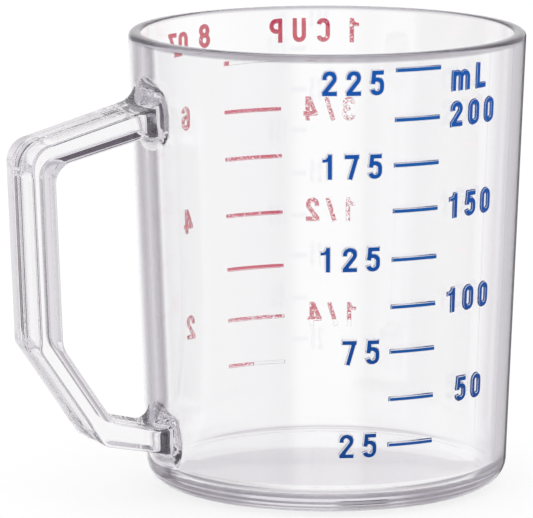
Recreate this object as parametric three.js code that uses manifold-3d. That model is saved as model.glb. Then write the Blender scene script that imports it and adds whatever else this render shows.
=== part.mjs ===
// A clear one-cup measuring cup with a strap handle and two raised, coloured scales.
// Millimetres, +Z up. The origin is the middle of the underside, and the handle points along -X.
import * as THREE from 'three';
import { mergeVertices } from 'three/addons/utils/BufferGeometryUtils.js';
import Module from 'manifold-3d';

// Cup
const CUP_HEIGHT = 80;
const RIM_RADIUS = 34.83; // outer wall, where its line meets the rim's plane
const FOOT_RADIUS = 31.66; // outer wall, where its line meets the underside's plane
const WALL = 2.2;
const FLOOR = 3.4;
const FOOT_ROUND = 4.3;
const FLOOR_FILLET = 2.0;
const RIM_OUTER_ROUND = 1.0;
const RIM_INNER_ROUND = 0.6;

// Handle: heights are measured on the faces of the strap, where their lines meet the wall or each other
const GRIP_REACH = 24.0; // from the wall to the grip's outer face
const GRIP_THICKNESS = 4.4;
const STRAP_WIDTH = 12.6;
const STRAP_EDGE_ROUND = 0.6;
const UPPER_ROOT_TOP = 69.3;
const UPPER_ROOT_UNDERSIDE = 64.5;
const ELBOW_TOP = 62.8;
const ELBOW_UNDERSIDE = 59.8;
const KNEE_OUTER = 28.0; // where the grip turns into the slanted corner, on the outer face
const KNEE_INNER = 28.5;
const HEEL_REACH = 12.8; // from the wall to the point where the slanted corner meets the lower arm
const HEEL_INNER_REACH = 10.8;
const HEEL_UNDERSIDE = 10.5;
const HEEL_TOP = 14.65;
const LOWER_ROOT_TOP = 12.0;
const LOWER_ROOT_UNDERSIDE = 7.9;
const ELBOW_OUTER_ROUND = 4.2;
const ELBOW_INNER_ROUND = 3.6;
const KNEE_OUTER_ROUND = 2.5;
const KNEE_INNER_ROUND = 5.0;
const HEEL_OUTER_ROUND = 2.6;
const HEEL_INNER_ROUND = 1.0;

// Roots, where the handle flares into the wall
const ROOT_REACH = 2.6; // from the wall to the flat end that carries the strap
const ROOT_FLARE_HEIGHT = 5.2;
const ROOT_FLARE_SIDE = 2.4;
const ROOT_BITE = 0.15; // depth of the flare's edge under the wall's surface

// Scales: raised bars, with angles in degrees about the cup's axis, anticlockwise from +X seen from above
const LINE_RELIEF = 0.5;
const LINE_THICKNESS = 0.8;
const LINE_GAP = 0.05;
const METRIC_LINE_LENGTH = 8.8;
const METRIC_LINE_ANGLE = -88.7;
const METRIC_LINE_HEIGHTS = [12.4, 20.4, 28.7, 36.5, 44.7, 53.1, 61.0, 68.8, 77.3];
const METRIC_STEP_ML = 25;
const US_LINE_LENGTH = 12.0;
const US_LINE_ANGLE = 89.6;
const US_LINE_HEIGHTS = [15.0, 23.4, 32.7, 42.5, 52.8, 61.4, 70.0];

// Smoothness
const CUP_SIDES = 72;
const ARC_STEPS = 3;
const EDGE_STEPS = 2;
const ROOT_RINGS = 7;
const ROOT_SIDES = 40;
const SURPLUS = 10; // how far a cutting solid runs past what it cuts

// Lines and radii that the rest is built on
const DRAFT = Math.atan((RIM_RADIUS - FOOT_RADIUS) / CUP_HEIGHT);
const INNER_FOOT_RADIUS = FOOT_RADIUS - WALL / Math.cos(DRAFT);
const wallRadius = (height) => FOOT_RADIUS + height * Math.tan(DRAFT);

const clearPlastic = (name) =>
  new THREE.MeshStandardMaterial({
    name, color: '#e9edf0', roughness: 0.05, metalness: 0, transparent: true, opacity: 0.35,
  });
const ink = (name, color) => new THREE.MeshStandardMaterial({ name, color, roughness: 0.35, metalness: 0 });

const wasm = await Module();
wasm.setup();

// Turns a closed geometry into a solid that can be joined and cut.
function solid(geometry) {
  const bare = geometry.clone();
  bare.deleteAttribute('normal');
  bare.deleteAttribute('uv');
  const merged = mergeVertices(bare);
  const index = merged.index.array;
  const triangles = [];
  for (let i = 0; i < index.length; i += 3) {
    const [a, b, c] = index.slice(i, i + 3);
    if (a !== b && b !== c && c !== a) triangles.push(a, b, c);
  }
  return new wasm.Manifold(new wasm.Mesh({
    numProp: 3,
    vertProperties: new Float32Array(merged.attributes.position.array),
    triVerts: new Uint32Array(triangles),
  }));
}

function geometryOf(body) {
  const mesh = body.getMesh();
  const geometry = new THREE.BufferGeometry();
  geometry.setAttribute('position', new THREE.BufferAttribute(mesh.vertProperties, 3));
  geometry.setIndex(new THREE.BufferAttribute(mesh.triVerts, 1));
  geometry.computeVertexNormals();
  return geometry;
}

// Centre radius of an arc that touches the line of a drafted wall, on its axis side or on its outer side.
const innerTangent = (footRadius, height, round) =>
  footRadius + (height * Math.sin(DRAFT) - round) / Math.cos(DRAFT);
const outerTangent = (footRadius, height, round) =>
  footRadius + (height * Math.sin(DRAFT) + round) / Math.cos(DRAFT);

function revolved(path) {
  return new THREE.LatheGeometry(path.getPoints(ARC_STEPS), CUP_SIDES).rotateX(Math.PI / 2);
}

// The outside of the cup, filled up to the rim.
function cupOutside() {
  const footCentre = innerTangent(FOOT_RADIUS, FOOT_ROUND, FOOT_ROUND);
  const rimHeight = CUP_HEIGHT - RIM_OUTER_ROUND;
  const rimCentre = innerTangent(FOOT_RADIUS, rimHeight, RIM_OUTER_ROUND);
  const path = new THREE.Path();
  path.moveTo(0, 0);
  path.lineTo(footCentre, 0);
  path.absarc(footCentre, FOOT_ROUND, FOOT_ROUND, -Math.PI / 2, -DRAFT, false);
  path.absarc(rimCentre, rimHeight, RIM_OUTER_ROUND, -DRAFT, Math.PI / 2, false);
  path.lineTo(0, CUP_HEIGHT);
  return revolved(path);
}

// The space inside the cup, opened out at the rim by the rim's inner rounding.
function cupInside() {
  const floorCentre = innerTangent(INNER_FOOT_RADIUS, FLOOR + FLOOR_FILLET, FLOOR_FILLET);
  const rimHeight = CUP_HEIGHT - RIM_INNER_ROUND;
  const rimCentre = outerTangent(INNER_FOOT_RADIUS, rimHeight, RIM_INNER_ROUND);
  const path = new THREE.Path();
  path.moveTo(0, FLOOR);
  path.lineTo(floorCentre, FLOOR);
  path.absarc(floorCentre, FLOOR + FLOOR_FILLET, FLOOR_FILLET, -Math.PI / 2, -DRAFT, false);
  path.absarc(rimCentre, rimHeight, RIM_INNER_ROUND, Math.PI - DRAFT, Math.PI / 2, true);
  path.lineTo(rimCentre, CUP_HEIGHT + SURPLUS);
  path.lineTo(0, CUP_HEIGHT + SURPLUS);
  return revolved(path);
}

// Where the strap's faces turn, as (distance from the axis, height). The grip leans with the wall.
const gripFace = (reach, height) => new THREE.Vector2(wallRadius(height) + reach, height);
const GRIP_INNER_REACH = GRIP_REACH - GRIP_THICKNESS;
const STRAP = {
  upperRootTop: gripFace(0, UPPER_ROOT_TOP),
  elbowOuter: gripFace(GRIP_REACH, ELBOW_TOP),
  kneeOuter: gripFace(GRIP_REACH, KNEE_OUTER),
  heelOuter: gripFace(HEEL_REACH, HEEL_UNDERSIDE),
  lowerRootUnderside: gripFace(0, LOWER_ROOT_UNDERSIDE),
  lowerRootTop: gripFace(0, LOWER_ROOT_TOP),
  heelInner: gripFace(HEEL_INNER_REACH, HEEL_TOP),
  kneeInner: gripFace(GRIP_INNER_REACH, KNEE_INNER),
  elbowInner: gripFace(GRIP_INNER_REACH, ELBOW_UNDERSIDE),
  upperRootUnderside: gripFace(0, UPPER_ROOT_UNDERSIDE),
};

// Each arm of the strap between its root and its bend, by its upper and lower faces.
const UPPER_ARM = {
  top: [STRAP.upperRootTop, STRAP.elbowOuter],
  underside: [STRAP.upperRootUnderside, STRAP.elbowInner],
};
const LOWER_ARM = {
  top: [STRAP.lowerRootTop, STRAP.heelInner],
  underside: [STRAP.lowerRootUnderside, STRAP.heelOuter],
};

function heightOn([from, to], distance) {
  return from.y + (to.y - from.y) * (distance - from.x) / (to.x - from.x);
}

// Middle and half height of an arm at a distance from the axis.
function armAt(arm, distance) {
  const top = heightOn(arm.top, distance);
  const underside = heightOn(arm.underside, distance);
  return { middle: (top + underside) / 2, half: (top - underside) / 2 };
}

function rootEnd(arm) {
  return wallRadius((arm.top[0].y + arm.underside[0].y) / 2) + ROOT_REACH;
}

// Adds a corner to an outline as an arc that touches both of its sides.
function roundCorner(shape, before, corner, after, round) {
  const back = before.clone().sub(corner).normalize();
  const on = after.clone().sub(corner).normalize();
  const half = Math.acos(back.dot(on)) / 2;
  const start = corner.clone().addScaledVector(back, round / Math.tan(half));
  const toCentre = back.clone().add(on).normalize();
  const centre = corner.clone().addScaledVector(toCentre, round / Math.sin(half));
  const end = corner.clone().addScaledVector(on, round / Math.tan(half));
  const clockwise = back.cross(on) > 0;
  shape.absarc(centre.x, centre.y, round,
    Math.atan2(start.y - centre.y, start.x - centre.x),
    Math.atan2(end.y - centre.y, end.x - centre.x), clockwise);
}

// A flat outline in distance and height, given a width across the handle and set along -X.
function acrossHandle(shape, width, edgeRound) {
  const geometry = new THREE.ExtrudeGeometry(shape, {
    depth: width - 2 * edgeRound,
    curveSegments: ARC_STEPS,
    bevelEnabled: edgeRound > 0,
    bevelThickness: edgeRound,
    bevelSize: edgeRound,
    bevelOffset: -edgeRound,
    bevelSegments: EDGE_STEPS,
  });
  geometry.translate(0, 0, edgeRound - width / 2);
  return geometry.rotateX(Math.PI / 2).rotateZ(Math.PI);
}

// The strap's outline, run on into the cup at both roots.
function strapOutline() {
  const inside = wallRadius(0) - SURPLUS;
  const start = new THREE.Vector2(inside, heightOn(UPPER_ARM.top, inside));
  const finish = new THREE.Vector2(inside, heightOn(LOWER_ARM.underside, inside));
  const innerStart = new THREE.Vector2(inside, heightOn(LOWER_ARM.top, inside));
  const innerFinish = new THREE.Vector2(inside, heightOn(UPPER_ARM.underside, inside));
  const shape = new THREE.Shape();
  shape.moveTo(finish.x, finish.y);
  shape.lineTo(innerStart.x, innerStart.y);
  roundCorner(shape, innerStart, STRAP.heelInner, STRAP.kneeInner, HEEL_INNER_ROUND);
  roundCorner(shape, STRAP.heelInner, STRAP.kneeInner, STRAP.elbowInner, KNEE_INNER_ROUND);
  roundCorner(shape, STRAP.kneeInner, STRAP.elbowInner, innerFinish, ELBOW_INNER_ROUND);
  shape.lineTo(innerFinish.x, innerFinish.y);
  shape.lineTo(start.x, start.y);
  roundCorner(shape, start, STRAP.elbowOuter, STRAP.kneeOuter, ELBOW_OUTER_ROUND);
  roundCorner(shape, STRAP.elbowOuter, STRAP.kneeOuter, STRAP.heelOuter, KNEE_OUTER_ROUND);
  roundCorner(shape, STRAP.kneeOuter, STRAP.heelOuter, finish, HEEL_OUTER_ROUND);
  shape.closePath();
  return shape;
}

// The space beyond the flat ends of both roots, which the strap is trimmed to.
function beyondRoots() {
  const upper = rootEnd(UPPER_ARM);
  const lower = rootEnd(LOWER_ARM);
  const middle = (ELBOW_UNDERSIDE + HEEL_TOP) / 2;
  const far = STRAP.elbowOuter.x + SURPLUS;
  const shape = new THREE.Shape([
    new THREE.Vector2(upper, CUP_HEIGHT + SURPLUS),
    new THREE.Vector2(upper, middle),
    new THREE.Vector2(lower, middle),
    new THREE.Vector2(lower, -SURPLUS),
    new THREE.Vector2(far, -SURPLUS),
    new THREE.Vector2(far, CUP_HEIGHT + SURPLUS),
  ]);
  return acrossHandle(shape, STRAP_WIDTH + 2 * SURPLUS, 0);
}

function handleGeometry() {
  const strap = solid(acrossHandle(strapOutline(), STRAP_WIDTH, STRAP_EDGE_ROUND));
  return geometryOf(strap.intersect(solid(beyondRoots())));
}

// Points round the strap's section, as (across, up) from its middle.
function strapSection(half) {
  const across = STRAP_WIDTH / 2;
  const round = STRAP_EDGE_ROUND;
  const shape = new THREE.Shape();
  shape.absarc(across - round, half - round, round, 0, Math.PI / 2, false);
  shape.absarc(round - across, half - round, round, Math.PI / 2, Math.PI, false);
  shape.absarc(round - across, round - half, round, Math.PI, 1.5 * Math.PI, false);
  shape.absarc(across - round, round - half, round, 1.5 * Math.PI, 2 * Math.PI, false);
  shape.closePath();
  return shape.getSpacedPoints(ROOT_SIDES).slice(0, ROOT_SIDES);
}

// A root: the strap's section at its flat end, flared as a fillet to an oval on the wall.
function rootGeometry(arm) {
  const end = rootEnd(arm);
  const section = armAt(arm, end);
  const foot = armAt(arm, end - ROOT_REACH);
  const across = STRAP_WIDTH / 2;
  const points = strapSection(section.half).map((point) => {
    const angle = Math.atan2(point.y / section.half, point.x / across);
    const oval = new THREE.Vector2(
      (across + ROOT_FLARE_SIDE) * Math.cos(angle),
      (foot.half + ROOT_FLARE_HEIGHT) * Math.sin(angle));
    const radius = wallRadius(foot.middle + oval.y);
    return { point, oval, wall: Math.sqrt(radius ** 2 - oval.x ** 2) - ROOT_BITE };
  });
  const positions = [];
  const addRing = (along, flare, sunk) => {
    const middle = section.middle + (foot.middle - section.middle) * along;
    for (const { point, oval, wall } of points) {
      const place = point.clone().lerp(oval, flare);
      const distance = end + (wall - end) * along - sunk;
      positions.push(-distance, place.x, middle + place.y);
    }
  };
  for (let ring = 0; ring <= ROOT_RINGS; ring += 1) {
    const turn = (Math.PI / 2) * (ring / ROOT_RINGS);
    addRing(Math.sin(turn), 1 - Math.cos(turn), 0);
  }
  addRing(1, 1, WALL);
  const rings = ROOT_RINGS + 2;
  const index = [];
  for (let ring = 0; ring + 1 < rings; ring += 1) {
    for (let side = 0; side < ROOT_SIDES; side += 1) {
      const a = ring * ROOT_SIDES + side;
      const b = ring * ROOT_SIDES + (side + 1) % ROOT_SIDES;
      index.push(a, b, a + ROOT_SIDES, b, b + ROOT_SIDES, a + ROOT_SIDES);
    }
  }
  const endCentre = positions.length / 3;
  positions.push(-end, 0, section.middle);
  const wallCentre = endCentre + 1;
  positions.push(WALL - wallRadius(foot.middle), 0, foot.middle);
  const last = (rings - 1) * ROOT_SIDES;
  for (let side = 0; side < ROOT_SIDES; side += 1) {
    const next = (side + 1) % ROOT_SIDES;
    index.push(endCentre, next, side);
    index.push(wallCentre, last + side, last + next);
  }
  const geometry = new THREE.BufferGeometry();
  geometry.setAttribute('position', new THREE.Float32BufferAttribute(positions, 3));
  geometry.setIndex(index);
  return geometry;
}

function cupGeometry() {
  const filled = solid(cupOutside()).add(solid(rootGeometry(UPPER_ARM))).add(solid(rootGeometry(LOWER_ARM)));
  return geometryOf(filled.subtract(solid(cupInside())));
}

// A raised bar that follows the wall at one height.
function lineGeometry(height, length, angleDegrees) {
  const inner = wallRadius(height + LINE_THICKNESS / 2) + LINE_GAP;
  const outer = inner + LINE_RELIEF;
  const middle = THREE.MathUtils.degToRad(angleDegrees);
  const half = length / 2 / inner;
  const shape = new THREE.Shape();
  shape.absarc(0, 0, outer, middle - half, middle + half, false);
  shape.absarc(0, 0, inner, middle + half, middle - half, true);
  shape.closePath();
  const bar = new THREE.ExtrudeGeometry(shape, {
    depth: LINE_THICKNESS, bevelEnabled: false, curveSegments: ARC_STEPS,
  });
  return bar.translate(0, 0, height - LINE_THICKNESS / 2);
}

const cup = new THREE.Group();

function add(name, geometry, material) {
  const mesh = new THREE.Mesh(geometry, material);
  mesh.name = name;
  cup.add(mesh);
}

// A graduation needs wall behind it, so none is placed in the rim's rounding.
const HIGHEST_LINE = CUP_HEIGHT - RIM_OUTER_ROUND - LINE_THICKNESS / 2;

add('cup_body', cupGeometry(), clearPlastic('clear_body'));
add('handle', handleGeometry(), clearPlastic('clear_handle'));
METRIC_LINE_HEIGHTS.forEach((height, step) => {
  if (height > HIGHEST_LINE) return;
  const name = `metric_line_${(step + 1) * METRIC_STEP_ML}ml`;
  add(name, lineGeometry(height, METRIC_LINE_LENGTH, METRIC_LINE_ANGLE), ink(name, '#1c4fa8'));
});
US_LINE_HEIGHTS.forEach((height, step) => {
  if (height > HIGHEST_LINE) return;
  const name = `us_line_${step + 1}oz`;
  add(name, lineGeometry(height, US_LINE_LENGTH, US_LINE_ANGLE), ink(name, '#cf3b4c'));
});

export default cup;
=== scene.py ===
"""A clear one-cup measuring cup with a strap handle and two raised, coloured scales."""
import logging
import math
from dataclasses import dataclass, field
from enum import Enum
from functools import reduce

import bmesh
import bpy
from mathutils import Matrix, Vector
from mathutils.geometry import delaunay_2d_cdt, intersect_point_quad_2d


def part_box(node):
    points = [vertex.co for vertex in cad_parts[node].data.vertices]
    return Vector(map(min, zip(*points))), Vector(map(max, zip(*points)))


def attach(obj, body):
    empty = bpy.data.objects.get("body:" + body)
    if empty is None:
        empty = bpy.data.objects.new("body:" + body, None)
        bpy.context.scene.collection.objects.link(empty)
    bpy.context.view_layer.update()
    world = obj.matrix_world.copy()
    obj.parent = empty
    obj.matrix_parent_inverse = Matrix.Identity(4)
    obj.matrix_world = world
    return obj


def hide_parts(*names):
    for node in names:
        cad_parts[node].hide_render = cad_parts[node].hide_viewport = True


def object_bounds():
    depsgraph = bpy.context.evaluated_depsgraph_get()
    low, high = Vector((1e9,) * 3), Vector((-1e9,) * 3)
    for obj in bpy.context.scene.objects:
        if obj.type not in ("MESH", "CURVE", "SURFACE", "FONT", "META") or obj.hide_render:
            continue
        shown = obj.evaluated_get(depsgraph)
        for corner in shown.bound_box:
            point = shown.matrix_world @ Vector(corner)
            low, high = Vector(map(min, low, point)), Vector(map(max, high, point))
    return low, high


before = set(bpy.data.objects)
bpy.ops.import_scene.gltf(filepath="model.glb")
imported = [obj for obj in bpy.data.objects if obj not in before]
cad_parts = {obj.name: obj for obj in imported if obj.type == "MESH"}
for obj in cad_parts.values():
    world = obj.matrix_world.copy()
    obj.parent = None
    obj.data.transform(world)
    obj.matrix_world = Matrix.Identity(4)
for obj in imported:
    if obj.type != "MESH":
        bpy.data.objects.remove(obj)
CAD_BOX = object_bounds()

LOG = logging.getLogger("measuring_cup")
MM = 0.001
BODY = "root"
WEAR = "wear"

Pair = tuple[float, float]
Colour = tuple[float, float, float]
Stops = tuple[tuple[float, Colour], ...]
Output = bpy.types.NodeSocket
Value = Output | float | Colour
Values = dict[str | int, Value]

WHITE: Colour = (1.0, 1.0, 1.0)
OPAQUE = 1.0
# The Mix node's sockets for colours: the share and the two colours, and the result.
MIX_INPUTS = (0, 6, 7)
MIX_OUTPUT = 2


class Slot(Enum):
    """The record's material slots."""

    CLEAR = "clear_plastic"
    BLUE = "blue_ink"
    RED = "red_ink"


class Align(Enum):
    """The side of a figure that its angle gives, seen from outside the cup."""

    LEFT = "left"
    RIGHT = "right"


class Sight(Enum):
    """How a card shows in the clear plastic, as Light Path names it."""

    MIRRORED = "Is Reflection Ray"
    THROUGH = "Is Transmission Ray"


class Graph:
    """A node tree that is filled from empty. A value is another node's output or a constant."""

    def __init__(self, tree: bpy.types.NodeTree) -> None:
        """Clears the tree."""
        tree.nodes.clear()
        self.tree = tree

    def node(self, kind: str, values: Values | None = None, **settings: str) -> bpy.types.Node:
        """Adds a node.

        Args:
            kind: The node's type.
            values: Values for its inputs. Colours are opaque.
            settings: Values for the node's own properties.

        Returns:
            The new node.
        """
        made = self.tree.nodes.new(kind)
        for name, setting in settings.items():
            setattr(made, name, setting)
        for socket, value in (values or {}).items():
            if isinstance(value, Output):
                self.tree.links.new(value, made.inputs[socket])
            else:
                made.inputs[socket].default_value = (*value, OPAQUE) if isinstance(value, tuple) else value
        return made

    def span(self, value: Value, low: float, high: float, at_low: float = 0, at_high: float = 1) -> Output:
        """Maps a value from one range to another.

        Args:
            value: The value.
            low: The value that becomes at_low.
            high: The value that becomes at_high.
            at_low: The result at low.
            at_high: The result at high.

        Returns:
            The result.
        """
        ranges = {"From Min": low, "From Max": high, "To Min": at_low, "To Max": at_high}
        return self.node("ShaderNodeMapRange", {"Value": value, **ranges}).outputs["Result"]

    def maths(self, operation: str, first: Value, second: Value) -> Output:
        """Joins two values by one of the Math node's operations."""
        return self.node("ShaderNodeMath", {0: first, 1: second}, operation=operation).outputs["Value"]

    def product(self, *factors: Value) -> Output:
        """Multiplies values."""
        return reduce(lambda made, factor: self.maths("MULTIPLY", made, factor), factors)

    def between(self, value: Value, ends: Pair, soft: float) -> Output:
        """Gives a share that is 1 between two values and fades to 0 past them.

        Args:
            value: The value.
            ends: The two values that it lies between.
            soft: How far past them the share fades.

        Returns:
            The share.
        """
        low, high = ends
        return self.product(self.span(value, low - soft, low), self.span(value, high, high + soft, 1, 0))

    def axes(self, vector: Output) -> bpy.types.NodeOutputs:
        """Splits a vector into X, Y and Z."""
        return self.node("ShaderNodeSeparateXYZ", {"Vector": vector}).outputs

    def ramp(self, value: Value, stops: Stops) -> Output:
        """Gives a colour by a value.

        Args:
            value: The value, from 0 to 1.
            stops: The colours and their places.

        Returns:
            The colour.
        """
        made = self.node("ShaderNodeValToRGB", {"Fac": value})
        elements = made.color_ramp.elements
        while len(elements) < len(stops):
            elements.new(1.0)
        for element, (place, colour) in zip(elements, stops):
            element.position = place
            element.color = (*colour, OPAQUE)
        return made.outputs["Color"]

    def mix(self, share: Value, first: Value, second: Value, blend: str = "MIX") -> Output:
        """Mixes two colours by the share of the second."""
        values = dict(zip(MIX_INPUTS, (share, first, second)))
        return self.node("ShaderNodeMix", values, data_type="RGBA", blend_type=blend).outputs[MIX_OUTPUT]

    def layer(self, share: Value, first: Output, second: Output) -> Output:
        """Mixes two shaders by the share of the second."""
        return self.node("ShaderNodeMixShader", {0: share, 1: first, 2: second}).outputs["Shader"]


def new_material(name: str) -> tuple[bpy.types.Material, Graph]:
    """Makes a material with an empty node tree.

    Args:
        name: The material's name.

    Returns:
        The material and its tree.
    """
    made = bpy.data.materials.new(name)
    made.use_nodes = True
    return made, Graph(made.node_tree)


@dataclass(frozen=True)
class ClearPlastic:
    """Polished clear polycarbonate, faintly grey-violet in its depth, with painted shade along leaning walls
    and at the rim.
    """

    name: str = "clear_polycarbonate"
    refraction: float = 1.585
    transmission: float = 0.994
    plain_tint: Colour = (0.996, 0.995, 0.998)
    # Painted shade: the plastic darkens in bands by how steeply its surface is seen, standing in for the dark
    # room seen along the handle's side of the wall.
    handle_side_painted_shade: Stops = (
        (0.0, plain_tint),
        (0.505, (0.99, 0.988, 0.993)),
        (0.528, (0.40, 0.375, 0.41)),
        (0.549, (0.22, 0.205, 0.23)),
        (0.572, (0.30, 0.285, 0.31)),
        (0.60, (0.45, 0.43, 0.46)),
        (0.64, (0.80, 0.78, 0.81)),
        (1.0, (0.90, 0.88, 0.91)),
    )
    # Painted shade: bands that grow near black at grazing angles, standing in for the dark room seen along
    # the far side of the wall.
    far_side_painted_shade: Stops = (
        (0.0, plain_tint),
        (0.44, (0.99, 0.988, 0.993)),
        (0.47, (0.93, 0.92, 0.94)),
        (0.69, (0.82, 0.80, 0.84)),
        (0.74, (0.66, 0.64, 0.68)),
        (0.785, (0.34, 0.32, 0.36)),
        (0.83, (0.06, 0.05, 0.06)),
        (1.0, (0.02, 0.02, 0.02)),
    )
    sides_meet: Pair = (-0.005, 0.005)
    wall_reach: Pair = (0.029, 0.0355)
    wall_reach_soft: float = 0.0005
    wall_slope: Pair = (-0.3, 0.3)
    wall_slope_soft: float = 0.2
    # Painted shade: the rim's top is greyed, standing in for the dark room seen in it.
    rim_painted_shade: Colour = (0.50, 0.48, 0.52)
    rim_span: Pair = (0.0793, 0.0797)
    rim_outside: float = 0.0008
    depth_tint: Colour = (0.775, 0.755, 0.785)
    depth_density: float = 12.0
    smudge_scale: float = 90.0
    smudge_noise: Pair = (0.45, 0.75)
    smudge_roughness: Pair = (0.0, 0.012)

    def on_wall(self, graph: Graph, ground: bpy.types.Node, reach: Output) -> Output:
        """Gives the share that is 1 where light goes into the wall from outside the cup, which is where the
        painted shade lies.

        Args:
            graph: The material's tree.
            ground: The tree's geometry node.
            reach: The surface's reach from the axis along its normal.

        Returns:
            The share.
        """
        slope = graph.axes(ground.outputs["Normal"])["Z"]
        return graph.product(
            graph.between(reach, self.wall_reach, self.wall_reach_soft),
            graph.between(slope, self.wall_slope, self.wall_slope_soft),
            graph.span(ground.outputs["Backfacing"], 0, 1, 1, 0),
        )

    def tint_and_painted_shade(self, graph: Graph, place: Output) -> Output:
        """Gives the surface's colour: its faint tint, with painted shade by its lean on the wall's outside
        and at the rim.

        Args:
            graph: The material's tree.
            place: The place on the object.

        Returns:
            The tint with its painted shade.
        """
        ground = graph.node("ShaderNodeNewGeometry")
        lean = graph.node("ShaderNodeLayerWeight").outputs["Facing"]
        axes = graph.axes(place)
        # Painted shade by the surface's lean, blended from the handle's side to the far side.
        sides = graph.mix(
            graph.span(axes["X"], *self.sides_meet),
            graph.ramp(lean, self.handle_side_painted_shade),
            graph.ramp(lean, self.far_side_painted_shade),
        )
        along_normal = {0: ground.outputs["Normal"], 1: place}
        reach = graph.node("ShaderNodeVectorMath", along_normal, operation="DOT_PRODUCT").outputs["Value"]
        walls = graph.mix(self.on_wall(graph, ground, reach), self.plain_tint, sides)
        lift = graph.span(reach, 0, self.wall_reach[0], 0, self.rim_outside)
        top = graph.span(graph.maths("ADD", axes["Z"], lift), *self.rim_span)
        # Painted shade at the rim, multiplied over the walls' colour.
        return graph.mix(top, walls, self.rim_painted_shade, "MULTIPLY")

    def dress(self, graph: Graph) -> Output:
        """Adds the plastic's surface to a node tree.

        Args:
            graph: The tree.

        Returns:
            The surface's shader.
        """
        place = graph.node("ShaderNodeTexCoord").outputs["Object"]
        smudge = graph.node("ShaderNodeTexNoise", {"Scale": self.smudge_scale, "Vector": place})
        return graph.node("ShaderNodeBsdfPrincipled", {
            "Base Color": self.tint_and_painted_shade(graph, place),
            "IOR": self.refraction,
            "Transmission Weight": self.transmission,
            "Roughness": graph.span(smudge.outputs["Fac"], *self.smudge_noise, *self.smudge_roughness),
        }).outputs["BSDF"]

    def material(self) -> bpy.types.Material:
        """Makes the material, with its tint in depth.

        Returns:
            The material.
        """
        made, graph = new_material(self.name)
        layers = {"Surface": self.dress(graph)}
        if self.depth_density > 0.0:
            depth = {"Color": self.depth_tint, "Density": self.depth_density}
            layers["Volume"] = graph.node("ShaderNodeVolumeAbsorption", depth).outputs["Volume"]
        graph.node("ShaderNodeOutputMaterial", layers)
        return made


@dataclass(frozen=True)
class Ink:
    """Colour on a raised mark's crest. It lets some light through and wears to specks where the mark says."""

    name: str
    low: Colour
    high: Colour
    worn: bool
    top: float = 0.08
    speck_scale: float = 3200.0
    speck_detail: float = 3.0
    speck_softness: float = 0.12
    speck_level: float = 0.5
    speck_spread: float = 0.25
    roughness: float = 0.35
    gloss: float = 0.2
    glow_share: float = 0.4

    def paint(self, graph: Graph, place: Output) -> Output:
        """Adds the ink itself, which differs between the cup's foot and its rim.

        Args:
            graph: The material's tree.
            place: The place on the object.

        Returns:
            The ink's shader.
        """
        colour = graph.mix(graph.span(graph.axes(place)["Z"], 0, self.top), self.low, self.high)
        film = graph.node("ShaderNodeBsdfPrincipled", {
            "Base Color": colour, "Roughness": self.roughness, "Specular IOR Level": self.gloss,
        })
        glow = graph.node("ShaderNodeBsdfTranslucent", {"Color": colour})
        return graph.layer(self.glow_share, film.outputs["BSDF"], glow.outputs["BSDF"])

    def cover(self, graph: Graph, place: Output) -> Output:
        """Gives the share of the crest that keeps its colour, in specks.

        Args:
            graph: The material's tree.
            place: The place on the object.

        Returns:
            The share.
        """
        speck = graph.node("ShaderNodeTexNoise", {
            "Scale": self.speck_scale, "Detail": self.speck_detail, "Vector": place,
        })
        wear = graph.node("ShaderNodeAttribute", attribute_name=WEAR).outputs["Fac"]
        sunk = graph.span(wear, 0, 1, self.speck_spread + self.speck_softness, -self.speck_spread)
        height = graph.maths("ADD", speck.outputs["Fac"], sunk)
        return graph.span(height, self.speck_level, self.speck_level + self.speck_softness)

    def material(self, clear: ClearPlastic) -> bpy.types.Material:
        """Makes the material.

        Args:
            clear: The plastic that shows where the colour is worn away.

        Returns:
            The material.
        """
        made, graph = new_material(self.name)
        place = graph.node("ShaderNodeTexCoord").outputs["Object"]
        surface = self.paint(graph, place)
        if self.worn:
            surface = graph.layer(self.cover(graph, place), clear.dress(graph), surface)
        graph.node("ShaderNodeOutputMaterial", {"Surface": surface})
        return made


@dataclass(frozen=True)
class WallLine:
    """The drafted outside of the cup: a straight line from the underside's plane to the rim's plane."""

    foot_radius: float
    rim_radius: float
    height: float

    @property
    def draft(self) -> float:
        """The wall's lean, in radians."""
        return math.atan((self.rim_radius - self.foot_radius) / self.height)

    def radius(self, height: float) -> float:
        """The outside's radius at a height."""
        return self.foot_radius + height * math.tan(self.draft)

    def on_wall(self, along: float, height: float, proud: float) -> Vector:
        """Finds a point by the wall.

        Args:
            along: Angle about the cup's axis, in radians from +X.
            height: Height over the underside.
            proud: Distance out from the wall.

        Returns:
            The point.
        """
        radius = self.radius(height) + proud
        return Vector((radius * math.cos(along), radius * math.sin(along), height))


def finished(name: str, bm: bmesh.types.BMesh, materials: list[bpy.types.Material]) -> bpy.types.Object:
    """Turns a bmesh in millimetres into an object in metres.

    Args:
        name: The object's name.
        bm: The mesh, which is freed.
        materials: The object's materials, in slot order.

    Returns:
        The object, linked to the scene.
    """
    bmesh.ops.scale(bm, vec=(MM, MM, MM), verts=bm.verts)
    mesh = bpy.data.meshes.new(name)
    bm.to_mesh(mesh)
    bm.free()
    for material in materials:
        mesh.materials.append(material)
    made = bpy.data.objects.new(name, mesh)
    bpy.context.scene.collection.objects.link(made)
    return made


def seat(piece: bpy.types.Object, slot: Slot, *nodes: str) -> None:
    """Sets a piece on its body and reports it.

    Args:
        piece: The piece.
        slot: The record's slot for its finish; not used.
        nodes: The solids that it stands for.
    """
    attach(piece, BODY)
    if nodes:
        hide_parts(*nodes)
    LOG.info("%s: %d faces", piece.name, len(piece.data.polygons))


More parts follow.
